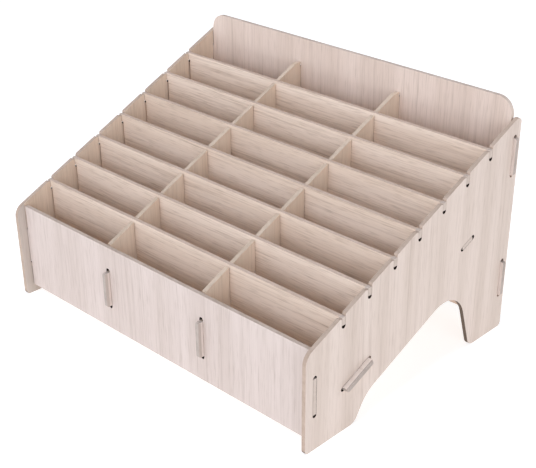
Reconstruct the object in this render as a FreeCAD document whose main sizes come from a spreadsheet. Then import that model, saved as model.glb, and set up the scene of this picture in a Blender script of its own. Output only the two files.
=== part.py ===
import FreeCAD, Part
import math
import os
import Sketcher

# Slot-together organizer of thin board: two sides, front, back, sloping floor, two long
# dividers and a stair of cross dividers that lift straight up out of their notches.
# Millimetres, +Z up, front towards -Y, origin on the ground under the middle.

DIVIDER_COUNT = 7
HALF_TURN = 180.0
MATCH_DISTANCE = 0.01

# Driving sizes. A run is a distance behind the front edge of the side panels.
DRIVING_SIZES = {
    "sheet": 3.0,                 # thickness of every board
    "width": 300.0,               # over the outer faces of the side panels
    "depth": 217.5,               # side panel, front edge to back edge
    "front_height": 74.0,         # sloping top edge at the front edge, before rounding
    "slope": 23.57,               # degrees that the top edge rises towards the back
    "cell_depth": 50.0,           # top edge to floor, square to the slope
    "side_band": 75.0,            # side panel between top edge and arch, square to the slope
    "front_foot": 48.6,           # length of the front foot on the ground, before rounding
    "rear_foot": 40.1,            # length of the rear foot on the ground, before rounding
    "front_foot_lean": 31.3,      # degrees from upright, front foot's inner edge
    "rear_foot_lean": 17.8,       # degrees from upright, rear foot's inner edge
    "foot_radius": 8.0,           # inner bottom corner of each foot
    "heel_radius": 3.0,           # outer bottom corner of each foot
    "arch_front_radius": 30.0,
    "arch_rear_radius": 26.0,
    "nose_radius": 10.0,          # front end of the sloping edge
    "crest_radius": 4.0,          # back end of the sloping edge
    "front_setback": 7.1,         # run of the front panel's front face
    "front_panel_drop": 1.7,      # front panel's top below the slope line at that face
    "front_panel_bottom": 6.9,    # front panel's lower edge above the ground
    "back_inset": 4.5,            # back panel's rear face ahead of the sides' back edges
    "back_panel_rise": 11.5,      # back panel's top above the upper end of the slope
    "back_panel_bottom": 6.9,     # back panel's lower edge above the ground
    "back_corner_radius": 12.0,
    "first_divider": 34.7,        # run of the middle of the first cross divider
    "last_divider": 34.2,         # middle of the last cross divider ahead of the back edges
    "divider_drop": 1.0,          # cross divider's top below the slope line at its middle
    "divider_tab": 5.8,           # height of a cross divider's end tabs
    "long_spacing": 98.0,         # between the middles of the two long dividers
    "long_drop": 2.0,             # long divider's sloping top below the slope line
    "rear_drop": 4.5,             # long divider's flat rear top below the slope line there
    "rear_shoulder": 3.6,         # rear tab of a long divider below that flat top
    "tab_length": 27.5,
    "short_tab_length": 11.5,     # rear tabs of the floor
    "tab_reach": 4.2,             # how far the floor's and long dividers' tabs stand out
    "back_tab_reach": 2.3,        # how far the back panel's tabs stand out
    "tab_radius": 1.5,            # outer corners of a through tab
    "front_tab_height": 41.3,     # middle of the front panel's and long dividers' front tabs
    "back_low_tab_height": 43.0,  # middle of the back panel's lower tabs
    "back_high_tab_drop": 29.6,   # middle of its upper tabs below the upper end of the slope
    "floor_front_tab": 48.7,      # run of the middle of the floor's front tabs
    "floor_rear_tab": 52.9,       # middle of the floor's rear tabs ahead of the back edges
    "slot_gap": 0.25,             # each flank of a tab in its slot
    "slot_end_gap": 0.4,          # each end of a tab in a side panel, before the slot's round end
    "long_slot_end_gap": 1.1,     # the same for the long dividers' tabs in the front and back panels
    "notch_corner_radius": 1.5,
    "notch_end_gap": 0.6,         # under a cross divider's tab, before the notch's round end
    "lap_gap": 0.4,               # each flank where two dividers cross
    "shoulder_gap": 0.8,          # panel ends to the side panels, beside their tabs
    "divider_shoulder_gap": 1.5,  # cross divider ends to the side panels, under their tabs
    "floor_gap": 0.3,             # dividers above the floor
    "end_gap": 0.4,               # floor and long dividers to the front and back panels
}

doc = FreeCAD.newDocument("compartment_organizer")
sizes = doc.addObject("Spreadsheet::Sheet", "Sizes")
for row, (alias, number) in enumerate(DRIVING_SIZES.items(), start=1):
    sizes.set(f"A{row}", alias)
    sizes.set(f"B{row}", str(number))
    sizes.setAlias(f"B{row}", alias)
doc.recompute()


# Places that several boards share, written as formulas on the sheet
def slope_height(run):
    return f"(Sizes.front_height + tan(Sizes.slope) * ({run}))"


def floor_top(run):
    return f"({slope_height(run)} - Sizes.cell_depth / cos(Sizes.slope))"


def floor_middle(run):
    return f"({floor_top(run)} - Sizes.sheet / 2 / cos(Sizes.slope))"


def arch_height(run):
    return f"({slope_height(run)} - Sizes.side_band / cos(Sizes.slope))"


def behind_front(run):
    return f"({run} - Sizes.depth / 2)"


def long_top(run):
    return f"({slope_height(run)} - Sizes.long_drop)"


def divider_run(index):
    share = f"{index} / {DIVIDER_COUNT - 1}"
    return f"(Sizes.first_divider + {share} * (Sizes.depth - Sizes.first_divider - Sizes.last_divider))"


def divider_top(index):
    return f"({slope_height(divider_run(index))} - Sizes.divider_drop)"


HALF_WIDTH = "(Sizes.width / 2)"
INNER_HALF_WIDTH = "(Sizes.width / 2 - Sizes.sheet)"
FRONT_MIDDLE = "(Sizes.front_setback + Sizes.sheet / 2)"
FRONT_REAR = "(Sizes.front_setback + Sizes.sheet)"
BACK_FACE = "(Sizes.depth - Sizes.back_inset - Sizes.sheet)"
BACK_MIDDLE = "(Sizes.depth - Sizes.back_inset - Sizes.sheet / 2)"
BACK_REAR = "(Sizes.depth - Sizes.back_inset)"
SLOPE_END = slope_height("Sizes.depth")
FRONT_TOP = f"({slope_height('Sizes.front_setback')} - Sizes.front_panel_drop)"
BACK_TOP = f"({SLOPE_END} + Sizes.back_panel_rise)"
BACK_HIGH_TAB = f"({SLOPE_END} - Sizes.back_high_tab_drop)"
REAR_TOP = f"({slope_height(BACK_FACE)} - Sizes.rear_drop)"
REAR_TAB_TOP = f"({REAR_TOP} - Sizes.rear_shoulder)"
REAR_TAB_MIDDLE = f"({REAR_TAB_TOP} - Sizes.tab_length / 2)"
FLOOR_REAR_TAB = "(Sizes.depth - Sizes.floor_rear_tab)"
SLOT_RADIUS = "(Sizes.sheet / 2 + Sizes.slot_gap)"
LAP_HALF_WIDTH = "(Sizes.sheet / 2 + Sizes.lap_gap)"
HALF_TAB = "(Sizes.tab_length / 2)"
DIVIDER_HEIGHT = (
    "(Sizes.cell_depth / cos(Sizes.slope) - Sizes.divider_drop"
    " - Sizes.sheet / 2 * tan(Sizes.slope) - Sizes.floor_gap)"
)
LAP_HEIGHT = f"({DIVIDER_HEIGHT} / 2)"


# Sketch and feature helpers
def value(formula):
    return float(sizes.evalExpression(formula))


def place(corner):
    return FreeCAD.Vector(value(corner[0]), value(corner[1]), 0)


def new_body(label):
    body = doc.addObject("PartDesign::Body", label)
    body.Label = label
    return body


def new_sketch(body, name, role):
    sketch = body.newObject("Sketcher::SketchObject", name)
    plane = next(item for item in body.Origin.OriginFeatures if item.Role == role)
    sketch.AttachmentSupport = [(plane, "")]
    sketch.MapMode = "FlatFace"
    return sketch


def hold(sketch, formula, kind, *picks):
    number = sketch.addConstraint(Sketcher.Constraint(kind, *picks, value(formula)))
    sketch.setExpression(f"Constraints[{number}]", formula)


def hold_point(sketch, geometry, point, corner):
    hold(sketch, corner[0], "DistanceX", geometry, point)
    hold(sketch, corner[1], "DistanceY", geometry, point)


def draw_polygon(sketch, corners):
    first = sketch.GeometryCount
    count = len(corners)
    for index, corner in enumerate(corners):
        following = corners[(index + 1) % count]
        sketch.addGeometry(Part.LineSegment(place(corner), place(following)))
    for index, corner in enumerate(corners):
        following = first + (index + 1) % count
        sketch.addConstraint(Sketcher.Constraint("Coincident", first + index, 2, following, 1))
        hold_point(sketch, first + index, 1, corner)


def add_half_circle(sketch, centre, turn):
    circle = Part.Circle(place(centre), FreeCAD.Vector(0, 0, 1), value(SLOT_RADIUS))
    start = math.radians(turn)
    return sketch.addGeometry(Part.ArcOfCircle(circle, start, start + math.pi))


def join_tangent(sketch, first, first_end, second, second_end):
    sketch.addConstraint(Sketcher.Constraint("Tangent", first, first_end, second, second_end))


def add_line_between(sketch, first, first_end, second, second_end):
    start = sketch.getPoint(first, first_end)
    return sketch.addGeometry(Part.LineSegment(start, sketch.getPoint(second, second_end)))


# Slot with two round ends, its centres given in the order that the angle points
def draw_slot(sketch, low, high, angle):
    near = add_half_circle(sketch, low, angle + HALF_TURN / 2)
    far = add_half_circle(sketch, high, angle - HALF_TURN / 2)
    right = add_line_between(sketch, near, 2, far, 1)
    left = add_line_between(sketch, far, 2, near, 1)
    join_tangent(sketch, near, 2, right, 1)
    join_tangent(sketch, right, 2, far, 1)
    join_tangent(sketch, far, 2, left, 1)
    join_tangent(sketch, left, 2, near, 1)
    sketch.addConstraint(Sketcher.Constraint("Equal", near, far))
    hold_point(sketch, near, 3, low)
    hold_point(sketch, far, 3, high)
    hold(sketch, SLOT_RADIUS, "Radius", near)


# Upright slot for a tab whose middle is at the given height
def draw_tab_slot(sketch, across, middle, end_gap="Sizes.slot_end_gap"):
    reach = f"({HALF_TAB} + {end_gap})"
    low = (across, f"({middle} - {reach})")
    high = (across, f"({middle} + {reach})")
    draw_slot(sketch, low, high, HALF_TURN / 2)


# Notch with a round lower end, open at the top
def draw_notch(sketch, across, low, top):
    bowl = add_half_circle(sketch, (across, low), HALF_TURN)
    left_corner = (f"({across} - {SLOT_RADIUS})", top)
    right_corner = (f"({across} + {SLOT_RADIUS})", top)
    left = sketch.addGeometry(Part.LineSegment(place(left_corner), sketch.getPoint(bowl, 1)))
    right = sketch.addGeometry(Part.LineSegment(sketch.getPoint(bowl, 2), place(right_corner)))
    lid = sketch.addGeometry(Part.LineSegment(place(right_corner), place(left_corner)))
    join_tangent(sketch, left, 2, bowl, 1)
    join_tangent(sketch, bowl, 2, right, 1)
    sketch.addConstraint(Sketcher.Constraint("Coincident", right, 2, lid, 1))
    sketch.addConstraint(Sketcher.Constraint("Coincident", lid, 2, left, 1))
    sketch.addConstraint(Sketcher.Constraint("Vertical", left))
    sketch.addConstraint(Sketcher.Constraint("Vertical", right))
    sketch.addConstraint(Sketcher.Constraint("Horizontal", lid))
    hold_point(sketch, bowl, 3, (across, low))
    hold(sketch, SLOT_RADIUS, "Radius", bowl)
    hold(sketch, top, "DistanceY", lid, 1)


def pad(body, sketch, length):
    feature = body.newObject("PartDesign::Pad", f"{sketch.Name}_pad")
    feature.Profile = sketch
    feature.SideType = "Symmetric"
    feature.setExpression("Length", length)
    doc.recompute()


def cut_through(body, sketch):
    before = body.Shape.Volume
    feature = body.newObject("PartDesign::Pocket", f"{sketch.Name}_cut")
    feature.Profile = sketch
    feature.SideType = "Symmetric"
    feature.Type = "ThroughAll"
    doc.recompute()
    if body.Shape.Volume >= before:
        raise RuntimeError(f"{feature.Name} cut nothing")


# Edges square to the sketch that pass through the given corners of it
def edges_at(body, role, corners):
    names = []
    targets = [place(corner) for corner in corners]
    for index, edge in enumerate(body.Tip.Shape.Edges, start=1):
        ends = [vertex.Point for vertex in edge.Vertexes]
        if role == "YZ_Plane":
            flat = [FreeCAD.Vector(end.y, end.z, 0) for end in ends]
        else:
            flat = [FreeCAD.Vector(end.x, end.z, 0) for end in ends]
        along = (ends[0] - ends[-1]).Length
        if along < MATCH_DISTANCE or (flat[0] - flat[-1]).Length > MATCH_DISTANCE:
            continue
        if any((flat[0] - target).Length < MATCH_DISTANCE for target in targets):
            names.append(f"Edge{index}")
    return names


# Edges across the board's thickness at the tips that reach this far to either side
def edges_at_tips(body, tip):
    names = []
    for index, edge in enumerate(body.Tip.Shape.Edges, start=1):
        at_tip = all(abs(abs(vertex.Point.x) - tip) < MATCH_DISTANCE for vertex in edge.Vertexes)
        if at_tip and abs(edge.Length - value("Sizes.sheet")) < MATCH_DISTANCE:
            names.append(f"Edge{index}")
    return names


def round_edges(body, name, names, radius):
    if not names:
        raise RuntimeError(f"{name} found no edge")
    unrounded = body.Tip
    feature = body.newObject("PartDesign::Fillet", f"{body.Name}_{name}")
    feature.Base = (unrounded, names)
    feature.setExpression("Radius", radius)
    doc.recompute()


def round_corners(body, name, role, corners, radius):
    round_edges(body, name, edges_at(body, role, corners), radius)


def seat(body, across, run, height):
    body.setExpression("Placement.Base.x", across)
    body.setExpression("Placement.Base.y", run)
    body.setExpression("Placement.Base.z", height)
    doc.recompute()


# Side panel: sloping top edge with a notch per cross divider, arch between two feet
def make_side_panel(label, middle):
    body = new_body(label)
    rise = "tan(Sizes.slope)"
    front_lean = "tan(Sizes.front_foot_lean)"
    rear_lean = "tan(Sizes.rear_foot_lean)"
    rear_toe = "(Sizes.depth - Sizes.rear_foot)"
    front_knee = f"({arch_height('Sizes.front_foot')} / (1 - {rise} * {front_lean}))"
    rear_knee = f"({arch_height(rear_toe)} / (1 + {rise} * {rear_lean}))"
    front_heel_corner = (behind_front("0"), "0")
    front_toe_corner = (behind_front("Sizes.front_foot"), "0")
    front_knee_corner = (behind_front(f"Sizes.front_foot + {front_knee} * {front_lean}"), front_knee)
    rear_knee_corner = (behind_front(f"{rear_toe} - {rear_knee} * {rear_lean}"), rear_knee)
    rear_toe_corner = (behind_front(rear_toe), "0")
    rear_heel_corner = (behind_front("Sizes.depth"), "0")
    crest_corner = (behind_front("Sizes.depth"), SLOPE_END)
    nose_corner = (behind_front("0"), slope_height("0"))
    outline = new_sketch(body, f"{label}_outline", "YZ_Plane")
    draw_polygon(outline, [
        front_heel_corner, front_toe_corner, front_knee_corner, rear_knee_corner,
        rear_toe_corner, rear_heel_corner, crest_corner, nose_corner,
    ])
    pad(body, outline, "Sizes.sheet")
    toes = [front_toe_corner, rear_toe_corner]
    heels = [front_heel_corner, rear_heel_corner]
    round_corners(body, "arch_rear", "YZ_Plane", [rear_knee_corner], "Sizes.arch_rear_radius")
    round_corners(body, "arch_front", "YZ_Plane", [front_knee_corner], "Sizes.arch_front_radius")
    round_corners(body, "toes", "YZ_Plane", toes, "Sizes.foot_radius")
    round_corners(body, "heels", "YZ_Plane", heels, "Sizes.heel_radius")
    round_corners(body, "nose", "YZ_Plane", [nose_corner], "Sizes.nose_radius")
    round_corners(body, "crest", "YZ_Plane", [crest_corner], "Sizes.crest_radius")
    slots = new_sketch(body, f"{label}_slots", "YZ_Plane")
    draw_tab_slot(slots, behind_front(FRONT_MIDDLE), "Sizes.front_tab_height")
    draw_tab_slot(slots, behind_front(BACK_MIDDLE), "Sizes.back_low_tab_height")
    draw_tab_slot(slots, behind_front(BACK_MIDDLE), BACK_HIGH_TAB)
    draw_floor_slot(slots, "Sizes.floor_front_tab", "Sizes.tab_length")
    draw_floor_slot(slots, FLOOR_REAR_TAB, "Sizes.short_tab_length")
    cut_through(body, slots)
    notches = new_sketch(body, f"{label}_notches", "YZ_Plane")
    corners = []
    for index in range(DIVIDER_COUNT):
        run = divider_run(index)
        low = f"({divider_top(index)} - Sizes.divider_tab - Sizes.notch_end_gap)"
        top = f"({slope_height(run)} + Sizes.sheet)"
        draw_notch(notches, behind_front(run), low, top)
        for edge_run in (f"({run} - {SLOT_RADIUS})", f"({run} + {SLOT_RADIUS})"):
            corners.append((behind_front(edge_run), slope_height(edge_run)))
    cut_through(body, notches)
    round_corners(body, "notch_corners", "YZ_Plane", corners, "Sizes.notch_corner_radius")
    seat(body, middle, "0", "0")
    return body


# Slanted slot for a tab of the floor
def draw_floor_slot(sketch, run, length):
    reach = f"({length} / 2 + Sizes.slot_end_gap)"
    along = f"({reach} * cos(Sizes.slope))"
    up = f"({reach} * sin(Sizes.slope))"
    low = (behind_front(f"{run} - {along}"), f"({floor_middle(run)} - {up})")
    high = (behind_front(f"{run} + {along}"), f"({floor_middle(run)} + {up})")
    draw_slot(sketch, low, high, value("Sizes.slope"))


# Corners of a board that lies in the floor's plane, between two runs of its middle line
def floor_section(start, stop):
    across = "(Sizes.sheet / 2 * sin(Sizes.slope))"
    up = "(Sizes.sheet / 2 * cos(Sizes.slope))"
    return [
        (behind_front(f"{start} + {across}"), f"({floor_middle(start)} - {up})"),
        (behind_front(f"{stop} + {across}"), f"({floor_middle(stop)} - {up})"),
        (behind_front(f"{stop} - {across}"), f"({floor_middle(stop)} + {up})"),
        (behind_front(f"{start} - {across}"), f"({floor_middle(start)} + {up})"),
    ]


# Upright panel with tabs on both ends: a list of tab heights and how far their tips reach
def tabbed_outline(bottom, top, tab_heights, tip):
    end = f"({INNER_HALF_WIDTH} - Sizes.shoulder_gap)"
    right = [(end, bottom)]
    for middle in tab_heights:
        right.append((end, f"({middle} - {HALF_TAB})"))
        right.append((tip, f"({middle} - {HALF_TAB})"))
        right.append((tip, f"({middle} + {HALF_TAB})"))
        right.append((end, f"({middle} + {HALF_TAB})"))
    right.append((end, top))
    left = [(f"(-{across})", height) for across, height in reversed(right)]
    return right + left


def cut_long_divider_slots(body, tab_middle):
    slots = new_sketch(body, f"{body.Name}_slots", "XZ_Plane")
    for across in ("(-Sizes.long_spacing / 2)", "(Sizes.long_spacing / 2)"):
        draw_tab_slot(slots, across, tab_middle, "Sizes.long_slot_end_gap")
    cut_through(body, slots)


def make_front_panel():
    body = new_body("front_panel")
    outline = new_sketch(body, "front_outline", "XZ_Plane")
    heights = ["Sizes.front_tab_height"]
    draw_polygon(outline, tabbed_outline("Sizes.front_panel_bottom", FRONT_TOP, heights, HALF_WIDTH))
    pad(body, outline, "Sizes.sheet")
    cut_long_divider_slots(body, "Sizes.front_tab_height")
    seat(body, "0", behind_front(FRONT_MIDDLE), "0")
    return body


def make_back_panel():
    body = new_body("back_panel")
    outline = new_sketch(body, "back_outline", "XZ_Plane")
    heights = ["Sizes.back_low_tab_height", BACK_HIGH_TAB]
    tip = f"({HALF_WIDTH} + Sizes.back_tab_reach)"
    corners = tabbed_outline("Sizes.back_panel_bottom", BACK_TOP, heights, tip)
    draw_polygon(outline, corners)
    pad(body, outline, "Sizes.sheet")
    tops = [corner for corner in corners if corner[1] == BACK_TOP]
    tips = [corner for corner in corners if tip in corner[0]]
    round_corners(body, "tops", "XZ_Plane", tops, "Sizes.back_corner_radius")
    round_corners(body, "tips", "XZ_Plane", tips, "Sizes.tab_radius")
    cut_long_divider_slots(body, REAR_TAB_MIDDLE)
    seat(body, "0", behind_front(BACK_MIDDLE), "0")
    return body


# Floor: a board parallel to the slope, with long front tabs that stand out of the side
# panels and short rear tabs that end flush with them
def make_bottom_panel():
    body = new_body("bottom_panel")
    lean = "Sizes.sheet / 2 * sin(Sizes.slope)"
    start = f"({FRONT_REAR} + Sizes.end_gap + {lean})"
    stop = f"({BACK_FACE} - Sizes.end_gap - {lean})"
    board = new_sketch(body, "floor_board", "YZ_Plane")
    draw_polygon(board, floor_section(start, stop))
    pad(body, board, f"2 * ({INNER_HALF_WIDTH} - Sizes.shoulder_gap)")
    tabs = (
        ("floor_front_tabs", "Sizes.floor_front_tab", "Sizes.tab_length", "Sizes.tab_reach"),
        ("floor_rear_tabs", FLOOR_REAR_TAB, "Sizes.short_tab_length", "0"),
    )
    for name, run, length, reach in tabs:
        along = f"({length} / 2 * cos(Sizes.slope))"
        section = new_sketch(body, name, "YZ_Plane")
        draw_polygon(section, floor_section(f"({run} - {along})", f"({run} + {along})"))
        pad(body, section, f"2 * ({HALF_WIDTH} + {reach})")
    tip = value(f"{HALF_WIDTH} + Sizes.tab_reach")
    round_edges(body, "tips", edges_at_tips(body, tip), "Sizes.tab_radius")
    return body


# Long divider: follows the slope, stands on the floor, with a tab through the front and
# back panels and an open notch where each cross divider drops in
def make_long_divider(label, across):
    body = new_body(label)
    front_end = f"({FRONT_REAR} + Sizes.end_gap)"
    back_end = f"({BACK_FACE} - Sizes.end_gap)"
    front_tip = behind_front("Sizes.front_setback - Sizes.tab_reach")
    back_tip = behind_front(f"{BACK_REAR} + Sizes.tab_reach")
    tab_low = f"(Sizes.front_tab_height - {HALF_TAB})"
    tab_high = f"(Sizes.front_tab_height + {HALF_TAB})"
    rear_low = f"({REAR_TAB_TOP} - Sizes.tab_length)"
    flat_run = f"({BACK_FACE} - (Sizes.rear_drop - Sizes.long_drop) / tan(Sizes.slope))"
    tips = [(front_tip, tab_low), (front_tip, tab_high), (back_tip, REAR_TAB_TOP), (back_tip, rear_low)]
    corners = [
        (behind_front(front_end), f"({floor_top(front_end)} + Sizes.floor_gap)"),
        (behind_front(front_end), tab_low),
        tips[0],
        tips[1],
        (behind_front(front_end), tab_high),
        (behind_front(front_end), long_top(front_end)),
    ]
    for index in range(DIVIDER_COUNT):
        run = divider_run(index)
        seat_height = f"({divider_top(index)} - {LAP_HEIGHT})"
        near = f"({run} - {LAP_HALF_WIDTH})"
        far = f"({run} + {LAP_HALF_WIDTH})"
        corners.append((behind_front(near), long_top(near)))
        corners.append((behind_front(near), seat_height))
        corners.append((behind_front(far), seat_height))
        corners.append((behind_front(far), long_top(far)))
    corners += [
        (behind_front(flat_run), REAR_TOP),
        (behind_front(back_end), REAR_TOP),
        (behind_front(back_end), REAR_TAB_TOP),
        tips[2],
        tips[3],
        (behind_front(back_end), rear_low),
        (behind_front(back_end), f"({floor_top(back_end)} + Sizes.floor_gap)"),
    ]
    outline = new_sketch(body, f"{label}_outline", "YZ_Plane")
    draw_polygon(outline, corners)
    pad(body, outline, "Sizes.sheet")
    round_corners(body, "tips", "YZ_Plane", tips, "Sizes.tab_radius")
    seat(body, across, "0", "0")
    return body


# Cross divider: end tabs that hang in the side panels' notches, and a slot from below that
# rests on each long divider
def make_cross_divider(index):
    label = f"cross_divider_{index + 1}"
    body = new_body(label)
    end = f"({INNER_HALF_WIDTH} - Sizes.divider_shoulder_gap)"
    tab_low = f"({DIVIDER_HEIGHT} - Sizes.divider_tab)"
    lap_top = f"({DIVIDER_HEIGHT} - {LAP_HEIGHT})"
    corners = [(f"(-{end})", "0")]
    for middle in ("(-Sizes.long_spacing / 2)", "(Sizes.long_spacing / 2)"):
        corners.append((f"({middle} - {LAP_HALF_WIDTH})", "0"))
        corners.append((f"({middle} - {LAP_HALF_WIDTH})", lap_top))
        corners.append((f"({middle} + {LAP_HALF_WIDTH})", lap_top))
        corners.append((f"({middle} + {LAP_HALF_WIDTH})", "0"))
    corners += [
        (end, "0"),
        (end, tab_low),
        (HALF_WIDTH, tab_low),
        (HALF_WIDTH, DIVIDER_HEIGHT),
        (f"(-{HALF_WIDTH})", DIVIDER_HEIGHT),
        (f"(-{HALF_WIDTH})", tab_low),
        (f"(-{end})", tab_low),
    ]
    outline = new_sketch(body, f"{label}_outline", "XZ_Plane")
    draw_polygon(outline, corners)
    pad(body, outline, "Sizes.sheet")
    seat(body, "0", behind_front(divider_run(index)), f"{divider_top(index)} - {DIVIDER_HEIGHT}")
    return body


boards = [
    make_side_panel("side_panel_left", "-(Sizes.width - Sizes.sheet) / 2"),
    make_side_panel("side_panel_right", "(Sizes.width - Sizes.sheet) / 2"),
    make_front_panel(),
    make_back_panel(),
    make_bottom_panel(),
    make_long_divider("long_divider_left", "-Sizes.long_spacing / 2"),
    make_long_divider("long_divider_right", "Sizes.long_spacing / 2"),
]
boards += [make_cross_divider(index) for index in range(DIVIDER_COUNT)]
doc.recompute()

for item in doc.Objects:
    if "Invalid" in item.State or "Error" in item.State:
        raise RuntimeError(f"{item.Label} failed: {item.State}")
for body in boards:
    if body.Shape.isNull() or not body.Shape.isValid() or len(body.Shape.Solids) != 1:
        raise RuntimeError(f"{body.Label} is not one valid solid")

os.makedirs("parts", exist_ok=True)
for body in boards:
    body.Shape.exportStep(f"parts/{body.Label}.step")
    box = body.Shape.BoundBox
    print(f"{body.Label}: {box.XLength:.1f} x {box.YLength:.1f} x {box.ZLength:.1f} mm")
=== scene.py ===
import math
import bmesh
import bpy
from mathutils import Matrix, Vector

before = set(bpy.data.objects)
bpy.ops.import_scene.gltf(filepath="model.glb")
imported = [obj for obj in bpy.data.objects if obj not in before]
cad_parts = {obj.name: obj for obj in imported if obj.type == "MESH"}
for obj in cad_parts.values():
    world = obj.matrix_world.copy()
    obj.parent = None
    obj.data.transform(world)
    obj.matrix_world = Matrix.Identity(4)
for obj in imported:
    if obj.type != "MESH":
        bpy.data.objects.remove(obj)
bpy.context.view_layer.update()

scene = bpy.context.scene
mm = 0.001


class Wire:  # a socket that takes part in plain expressions
    def __init__(self, bench, socket):
        self.bench = bench
        self.socket = socket

    def __add__(self, other):
        return self.bench.sum("ADD", self, other)

    def __radd__(self, other):
        return self.bench.sum("ADD", other, self)

    def __sub__(self, other):
        return self.bench.sum("SUBTRACT", self, other)

    def __rsub__(self, other):
        return self.bench.sum("SUBTRACT", other, self)

    def __mul__(self, other):
        return self.bench.sum("MULTIPLY", self, other)

    def __rmul__(self, other):
        return self.bench.sum("MULTIPLY", other, self)

    def __gt__(self, other):
        return self.bench.sum("GREATER_THAN", self, other)

    def __lt__(self, other):
        return self.bench.sum("LESS_THAN", self, other)

    def __abs__(self):
        return self.bench.sum("ABSOLUTE", self)


class Bench:  # the nodes of one material or of the sky
    def __init__(self, owner):
        owner.use_nodes = True
        self.tree = owner.node_tree
        self.tree.nodes.clear()

    def add(self, kind, settings=None, sockets=None):
        node = self.tree.nodes.new("ShaderNode" + kind)
        for key, setting in (settings or {}).items():
            setattr(node, key, setting)
        for key, given in (sockets or {}).items():
            if isinstance(given, Wire):
                self.tree.links.new(given.socket, node.inputs[key])
            else:
                node.inputs[key].default_value = given
        return node

    def wire(self, node, output=0):
        return Wire(self, node.outputs[output])

    def sum(self, operation, *terms):
        return self.wire(self.add("Math", {"operation": operation}, dict(enumerate(terms))))

    def smooth(self, amount, low, high):  # 0 at low, 1 at high
        sockets = {"Value": amount, "From Min": low, "From Max": high}
        return self.wire(self.add("MapRange", {"interpolation_type": "SMOOTHSTEP"}, sockets))

    def noise(self, vector, scale=1.0, detail=2.0, rough=0.5):
        sockets = {"Vector": vector, "Scale": scale, "Detail": detail, "Roughness": rough}
        return self.wire(self.add("TexNoise", {"noise_dimensions": "3D"}, sockets), "Fac")

    def vector(self, x, y, z):
        return self.wire(self.add("CombineXYZ", None, {"X": x, "Y": y, "Z": z}))

    def split(self, vector):  # its three parts
        node = self.add("SeparateXYZ", None, {"Vector": vector})
        return [self.wire(node, letter) for letter in "XYZ"]

    def mix(self, factor, first, second):  # colours by socket place: factor 0, first 6, second 7
        settings = {"data_type": "RGBA", "blend_type": "MIX"}
        return self.wire(self.add("Mix", settings, {0: factor, 6: first, 7: second}), 2)


# printed faces: pale ground, warm ground, streaks; the rows are copies of one veneer made lighter or darker
# per board and per side, as painted light and shade
faceTints = {
    "front": ((0.695, 0.590, 0.537, 1), (0.620, 0.518, 0.462, 1), (0.460, 0.367, 0.313, 1)),
    "side": ((0.745, 0.626, 0.548, 1), (0.652, 0.538, 0.460, 1), (0.490, 0.382, 0.312, 1)),
    "back": ((0.800, 0.660, 0.572, 1), (0.715, 0.578, 0.490, 1), (0.530, 0.408, 0.330, 1)),
    "tab": ((0.740, 0.632, 0.568, 1), (0.700, 0.588, 0.520, 1), (0.560, 0.455, 0.390, 1)),
    # painted highlight for the tops of the floor's protruding tabs
    "litLedge": ((0.880, 0.770, 0.690, 1), (0.835, 0.720, 0.640, 1), (0.700, 0.580, 0.500, 1)),
    # painted shade for the protruding tips of tabs
    "shadedTip": ((0.530, 0.450, 0.398, 1), (0.500, 0.420, 0.368, 1), (0.430, 0.350, 0.300, 1)),
    "end": ((0.680, 0.570, 0.495, 1), (0.640, 0.530, 0.450, 1), (0.520, 0.405, 0.330, 1)),
    "lining": ((0.810, 0.655, 0.520, 1), (0.745, 0.585, 0.450, 1), (0.520, 0.385, 0.280, 1)),
    # painted shade: a darker, greyer copy for the inner faces' margins and their part under the floor
    "shadedRim": ((0.577, 0.497, 0.438, 1), (0.505, 0.427, 0.367, 1), (0.380, 0.303, 0.249, 1)),
    "inner": ((0.885, 0.733, 0.612, 1), (0.795, 0.638, 0.514, 1), (0.520, 0.385, 0.288, 1)),
}
# cut edges: board core, darker core
standingCore = ((0.500, 0.424, 0.374, 1), (0.400, 0.334, 0.290, 1))
edgeTints = {
    "front": ((0.620, 0.510, 0.430, 1), (0.480, 0.380, 0.310, 1)),
    "side": ((0.551, 0.425, 0.342, 1), (0.459, 0.347, 0.273, 1)),
    "back": ((0.660, 0.545, 0.465, 1), (0.550, 0.445, 0.370, 1)),
    "tab": standingCore,
    "litLedge": standingCore,
    "shadedTip": standingCore,
    "end": ((0.640, 0.535, 0.465, 1), (0.560, 0.460, 0.390, 1)),
    "lining": ((0.670, 0.532, 0.417, 1), (0.550, 0.428, 0.325, 1)),
    "inner": ((0.675, 0.530, 0.436, 1), (0.565, 0.430, 0.338, 1)),
}
# noise drawn out along the board: waves per metre, own shift, turning points, share of the darkening
grain = {
    "bands": dict(across=55, along=2.2, shift=0.0, detail=2.0, rough=0.5, turn=(0.30, 0.72)),
    "streaks": dict(across=330, along=6, shift=3.1, detail=3.0, rough=0.6, turn=(0.50, 0.80), share=0.34),
    "lines": dict(across=900, along=14, shift=7.7, detail=2.0, rough=0.5, turn=(0.48, 0.74), share=0.22),
    "pores": dict(across=1100, along=75, shift=11.3, detail=1.0, rough=0.5, turn=(0.50, 0.74), share=0.22),
    "sway": dict(across=6, along=5, detail=1.0, reach=0.006),
}
surface = {
    "faceTurn": (0.55, 0.75), "innerTurn": (0.2, 0.4),  # how squarely a face looks along the board's normal
    "fibres": dict(scale=260, detail=3.0, rough=0.65), "toast": dict(scale=40), "coreTurn": (0.36, 0.66),
    "roughness": 0.62, "streakRoughness": 0.12, "edgeRoughness": 0.18,
    "reliefStrength": 0.12, "reliefDistance": 0.0004, "ior": 1.45, "specular": 0.25,
}
paintedShade = {  # painted shade; places in mm
    "underShade": (0.150, 0.112, 0.088, 1), "underShadeTurn": (0.02, 0.30),  # painted shade on cuts of the arch that look down
    "slotShade": (0.030, 0.020, 0.015, 1),  # painted shade, near black, at the ends of slots and notches
    "notchTurn": (7.0, 7.8), "notchBottom": 13.0, "notchReach": 85.0,  # under the slope, and from the middle
}
slope = {"front": 108.75, "height": 74.0, "rise": 0.4363}  # line of the side panels' top edge, in mm
lining = {"reach": 101.6, "depth": 54.5}  # from the middle, and from the slope down to the floor, in mm


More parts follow.
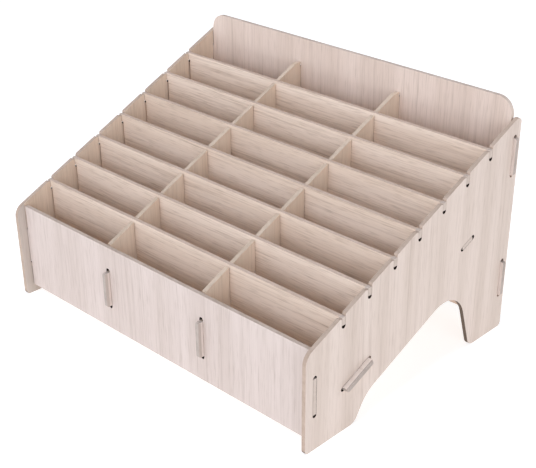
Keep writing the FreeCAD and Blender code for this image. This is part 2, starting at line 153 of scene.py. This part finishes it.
def boardFinish(
    name, tint, faceAxis, grainAxis, shift, figured=1.0, inward=0, tabs=(), shadedSlots=(), slopeShade=False
):
    material = bpy.data.materials.new(name)
    bench = Bench(material)
    place = bench.add("TexCoord")
    spot = bench.wire(place, "Object")
    axes = bench.split(spot)
    facing = bench.split(bench.wire(place, "Normal"))
    along = axes[grainAxis]
    across = axes[3 - faceAxis - grainAxis]  # the axis that is left
    onFace = bench.smooth(abs(facing[faceAxis]), *surface["faceTurn"])

    # grain: slow bands, streaks, fine lines and short pores
    sway = grain["sway"]
    wave = bench.noise(
        bench.vector(across * sway["across"], along * sway["along"], shift), detail=sway["detail"]
    )
    lane = across + (wave - 0.5) * sway["reach"]

    def figureOf(kind):
        cast = grain[kind]
        vector = bench.vector(lane * cast["across"], along * cast["along"], shift + cast["shift"])
        return bench.smooth(bench.noise(vector, detail=cast["detail"], rough=cast["rough"]), *cast["turn"])

    figure = figureOf("bands")
    dark = sum(figureOf(kind) * grain[kind]["share"] for kind in ("streaks", "lines", "pores")) * figured
    fibres = bench.noise(spot, **surface["fibres"])
    toast = bench.noise(spot, **surface["toast"])
    coreTone = bench.smooth((fibres + toast) * 0.5, *surface["coreTurn"])

    def faceIn(tintName):
        pale, warm, streak = faceTints[tintName]
        return bench.mix(dark, bench.mix(figure, pale, warm), streak)

    def edgeIn(tintName):
        return bench.mix(coreTone, *edgeTints[tintName])

    def underSlope():
        return slope["height"] * mm + (axes[1] + slope["front"] * mm) * slope["rise"] - axes[2]

    face, edge = faceIn(tint), edgeIn(tint)
    if inward:  # the side towards the compartments is painted as a lighter, warmer copy like the dividers (painted light); its margins in front and behind and its part under the floor as a darker, greyer copy (painted shade)
        inner = bench.smooth(facing[faceAxis] * inward, *surface["innerTurn"])
        lined = (abs(axes[1]) < lining["reach"] * mm) * (underSlope() < lining["depth"] * mm)
        face = bench.mix(inner, face, bench.mix(lined, faceIn("shadedRim"), faceIn("lining")))
    for axis, limit, tabTint in tabs:  # ends that show in or outside other boards
        outside = abs(axes[axis]) > limit * mm
        face = bench.mix(outside, face, faceIn(tabTint))
        edge = bench.mix(outside, edge, edgeIn(tabTint))
    # mask of the shade painted into slot ends and notches
    shadeMask = 0
    for box in shadedSlots:
        inside = 1
        for axis, (low, high) in box.items():
            inside = inside * (abs(axes[axis] - (low + high) / 2 * mm) < (high - low) / 2 * mm)
        shadeMask = shadeMask + inside
    if slopeShade:  # painted shade on the arch's cuts that look down, and on the round ends of the notches under the sloping edge
        edge = bench.mix(bench.smooth(0 - facing[2], *paintedShade["underShadeTurn"]), edge, paintedShade["underShade"])
        under = underSlope()
        notch = bench.smooth(under, *(depth * mm for depth in paintedShade["notchTurn"]))
        notch = notch * (under < paintedShade["notchBottom"] * mm) * (abs(axes[1]) < paintedShade["notchReach"] * mm)
        shadeMask = shadeMask + notch
    # slot ends and notches painted near black as shade
    if shadedSlots:
        edge = bench.mix(bench.sum("MINIMUM", shadeMask, 1.0), edge, paintedShade["slotShade"])

    offFace = 1 - onFace
    rough = surface["roughness"] + dark * surface["streakRoughness"] + offFace * surface["edgeRoughness"]
    relief = bench.add("Bump", None, {
        "Strength": surface["reliefStrength"], "Distance": surface["reliefDistance"],
        "Height": (1 - dark) * onFace + fibres * offFace,
    })
    shader = bench.add("BsdfPrincipled", None, {
        "Base Color": bench.mix(onFace, edge, face), "Roughness": rough, "Normal": bench.wire(relief),
        "IOR": surface["ior"], "Specular IOR Level": surface["specular"],
    })
    bench.add("OutputMaterial", None, {"Surface": bench.wire(shader)})
    return material


# painted shade at the ends of slots: spans in mm by axis, in the board's own plane
sideSlots = [
    {1: (-103.0, -97.2), 2: (22.0, 61.0)},  # front panel's tab
    {1: (-77.0, -70.5), 2: (29.0, 39.0)},  # low end of the floor's front tab
    {1: (45.0, 66.0), 2: (83.0, 97.0)},  # floor's rear tab
]
frontSlots = [{0: (-51.6, -46.4), 2: (22.3, 60.3)}, {0: (46.4, 51.6), 2: (22.3, 60.3)}]  # long dividers' tabs

# ends of boards: axis, distance from the middle in mm and the tint beyond it
inSides = (0, 147, "end")
backEnds = ((0, 150.02, "tab"),)
# the floor's tab tops painted lighter as a highlight, their tips darker as shade
floorEnds = (inSides, (0, 150.02, "litLedge"), (0, 153.2, "shadedTip"))
# the long dividers' tab tips painted darker as shade
longEnds = ((1, 101.7, "tab"), (1, 103.5, "shadedTip"))

sideBoard = dict(tint="side", faceAxis=0, grainAxis=2, figured=1.05, shadedSlots=sideSlots, slopeShade=True)
longBoard = dict(tint="lining", faceAxis=0, grainAxis=2, tabs=longEnds)
crossBoard = dict(tint="inner", faceAxis=1, grainAxis=0, figured=1.6, tabs=(inSides,))
boards = {
    "side_panel_left": dict(sideBoard, shift=1.3, inward=1),
    "side_panel_right": dict(sideBoard, shift=5.9, inward=-1),
    "front_panel": dict(
        tint="front", faceAxis=1, grainAxis=2, shift=9.2, figured=1.35, inward=1,
        tabs=(inSides,), shadedSlots=frontSlots,
    ),
    "back_panel": dict(tint="back", faceAxis=1, grainAxis=2, shift=14.6, figured=1.3, tabs=backEnds),
    "bottom_panel": dict(tint="inner", faceAxis=2, grainAxis=0, shift=21.4, tabs=floorEnds),
    "long_divider_left": dict(longBoard, shift=25.7),
    "long_divider_right": dict(longBoard, shift=31.1),
    "cross_divider_1": dict(crossBoard, shift=40.7),
    "cross_divider_2": dict(crossBoard, shift=45.4),
    "cross_divider_3": dict(crossBoard, shift=50.1),
    "cross_divider_4": dict(crossBoard, shift=54.8),
    "cross_divider_5": dict(crossBoard, shift=59.5),
    "cross_divider_6": dict(crossBoard, shift=64.2),
    "cross_divider_7": dict(crossBoard, shift=68.9),
}
for node, finish in boards.items():
    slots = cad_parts[node].data.materials
    slots.clear()
    slots.append(boardFinish("board_" + node, **finish))
print("boards finished:", len(boards))

# floor, sky and lamps
studio = {
    "floorReach": 20.0, "floorTone": (0.52, 0.52, 0.52, 1), "floorRoughness": 0.9,
    "glowTone": (1, 1, 1, 1), "floorGlow": 0.74,
    "horizon": (0.88, 0.90, 0.95, 1), "zenith": (0.13, 0.126, 0.122, 1), "skyTurn": (0.30, 0.75),
    "lampTone": (0.888, 0.945, 1.072), "lampAim": (0, 0, 0.08),
}
sheet = bmesh.new()
bmesh.ops.create_grid(sheet, x_segments=1, y_segments=1, size=studio["floorReach"])
ground = bpy.data.objects.new("studio_floor", bpy.data.meshes.new("studio_floor"))
sheet.to_mesh(ground.data)
sheet.free()
scene.collection.objects.link(ground)
paper = bpy.data.materials.new("studio_floor")
bench = Bench(paper)
shader = bench.add("BsdfPrincipled", None, {
    "Base Color": studio["floorTone"], "Roughness": studio["floorRoughness"],
    "Emission Color": studio["glowTone"], "Emission Strength": studio["floorGlow"],
})
bench.add("OutputMaterial", None, {"Surface": bench.wire(shader)})
ground.data.materials.append(paper)

scene.world = bpy.data.worlds.new("studio_sky")  # bright round the horizon, dim overhead
bench = Bench(scene.world)
height = bench.split(bench.wire(bench.add("TexCoord"), "Object"))[2]
skyTone = bench.mix(bench.smooth(height, *studio["skyTurn"]), studio["horizon"], studio["zenith"])
sky = bench.add("Background", None, {"Color": skyTone, "Strength": 1.0})
bench.add("OutputWorld", None, {"Surface": bench.wire(sky)})

lamps = [
    {"name": "key", "spot": (2.0, -0.55, 0.72), "size": 1.0, "watts": 9.5},
    {"name": "fill", "spot": (-0.15, -1.95, 1.00), "size": 1.2, "watts": 14.0},
    {"name": "top", "spot": (0.10, -0.20, 2.20), "size": 0.5, "watts": 17.0},
]
for lamp in lamps:
    data = bpy.data.lights.new(lamp["name"], "AREA")
    data.size = lamp["size"]
    data.energy = lamp["watts"]
    data.color = studio["lampTone"]
    light = bpy.data.objects.new(lamp["name"], data)
    light.location = lamp["spot"]
    aim = Vector(studio["lampAim"]) - Vector(lamp["spot"])
    light.rotation_euler = aim.to_track_quat("-Z", "Y").to_euler()
    scene.collection.objects.link(light)
print("studio lit:", len(lamps), "lamps")

# the photograph's viewpoint, angles in degrees
viewPoint = {
    "spot": (0.54019, -0.54351, 0.46199),
    "azimuth": 44.478, "elevation": 30.002, "roll": 0.632,
    "lens": 77.64, "sensor": 36.0, "shift": (0.01153, 0.09779),
}
turn, tilt, lean = (math.radians(viewPoint[key]) for key in ("azimuth", "elevation", "roll"))
ahead = Vector((-math.sin(turn) * math.cos(tilt), math.cos(turn) * math.cos(tilt), -math.sin(tilt)))
level = ahead.cross(Vector((0, 0, 1))).normalized()
right = level * math.cos(lean) + ahead.cross(level) * math.sin(lean)
pointing = Matrix((right, right.cross(ahead), -ahead)).transposed()
lens = bpy.data.cameras.new("photo_view")
lens.lens = viewPoint["lens"]
lens.sensor_width = viewPoint["sensor"]
lens.shift_x, lens.shift_y = viewPoint["shift"]
camera = bpy.data.objects.new("photo_view", lens)
camera.matrix_world = Matrix.Translation(viewPoint["spot"]) @ pointing.to_4x4()
scene.collection.objects.link(camera)
scene.camera = camera
scene.view_settings.view_transform = "Standard"
print("camera placed")
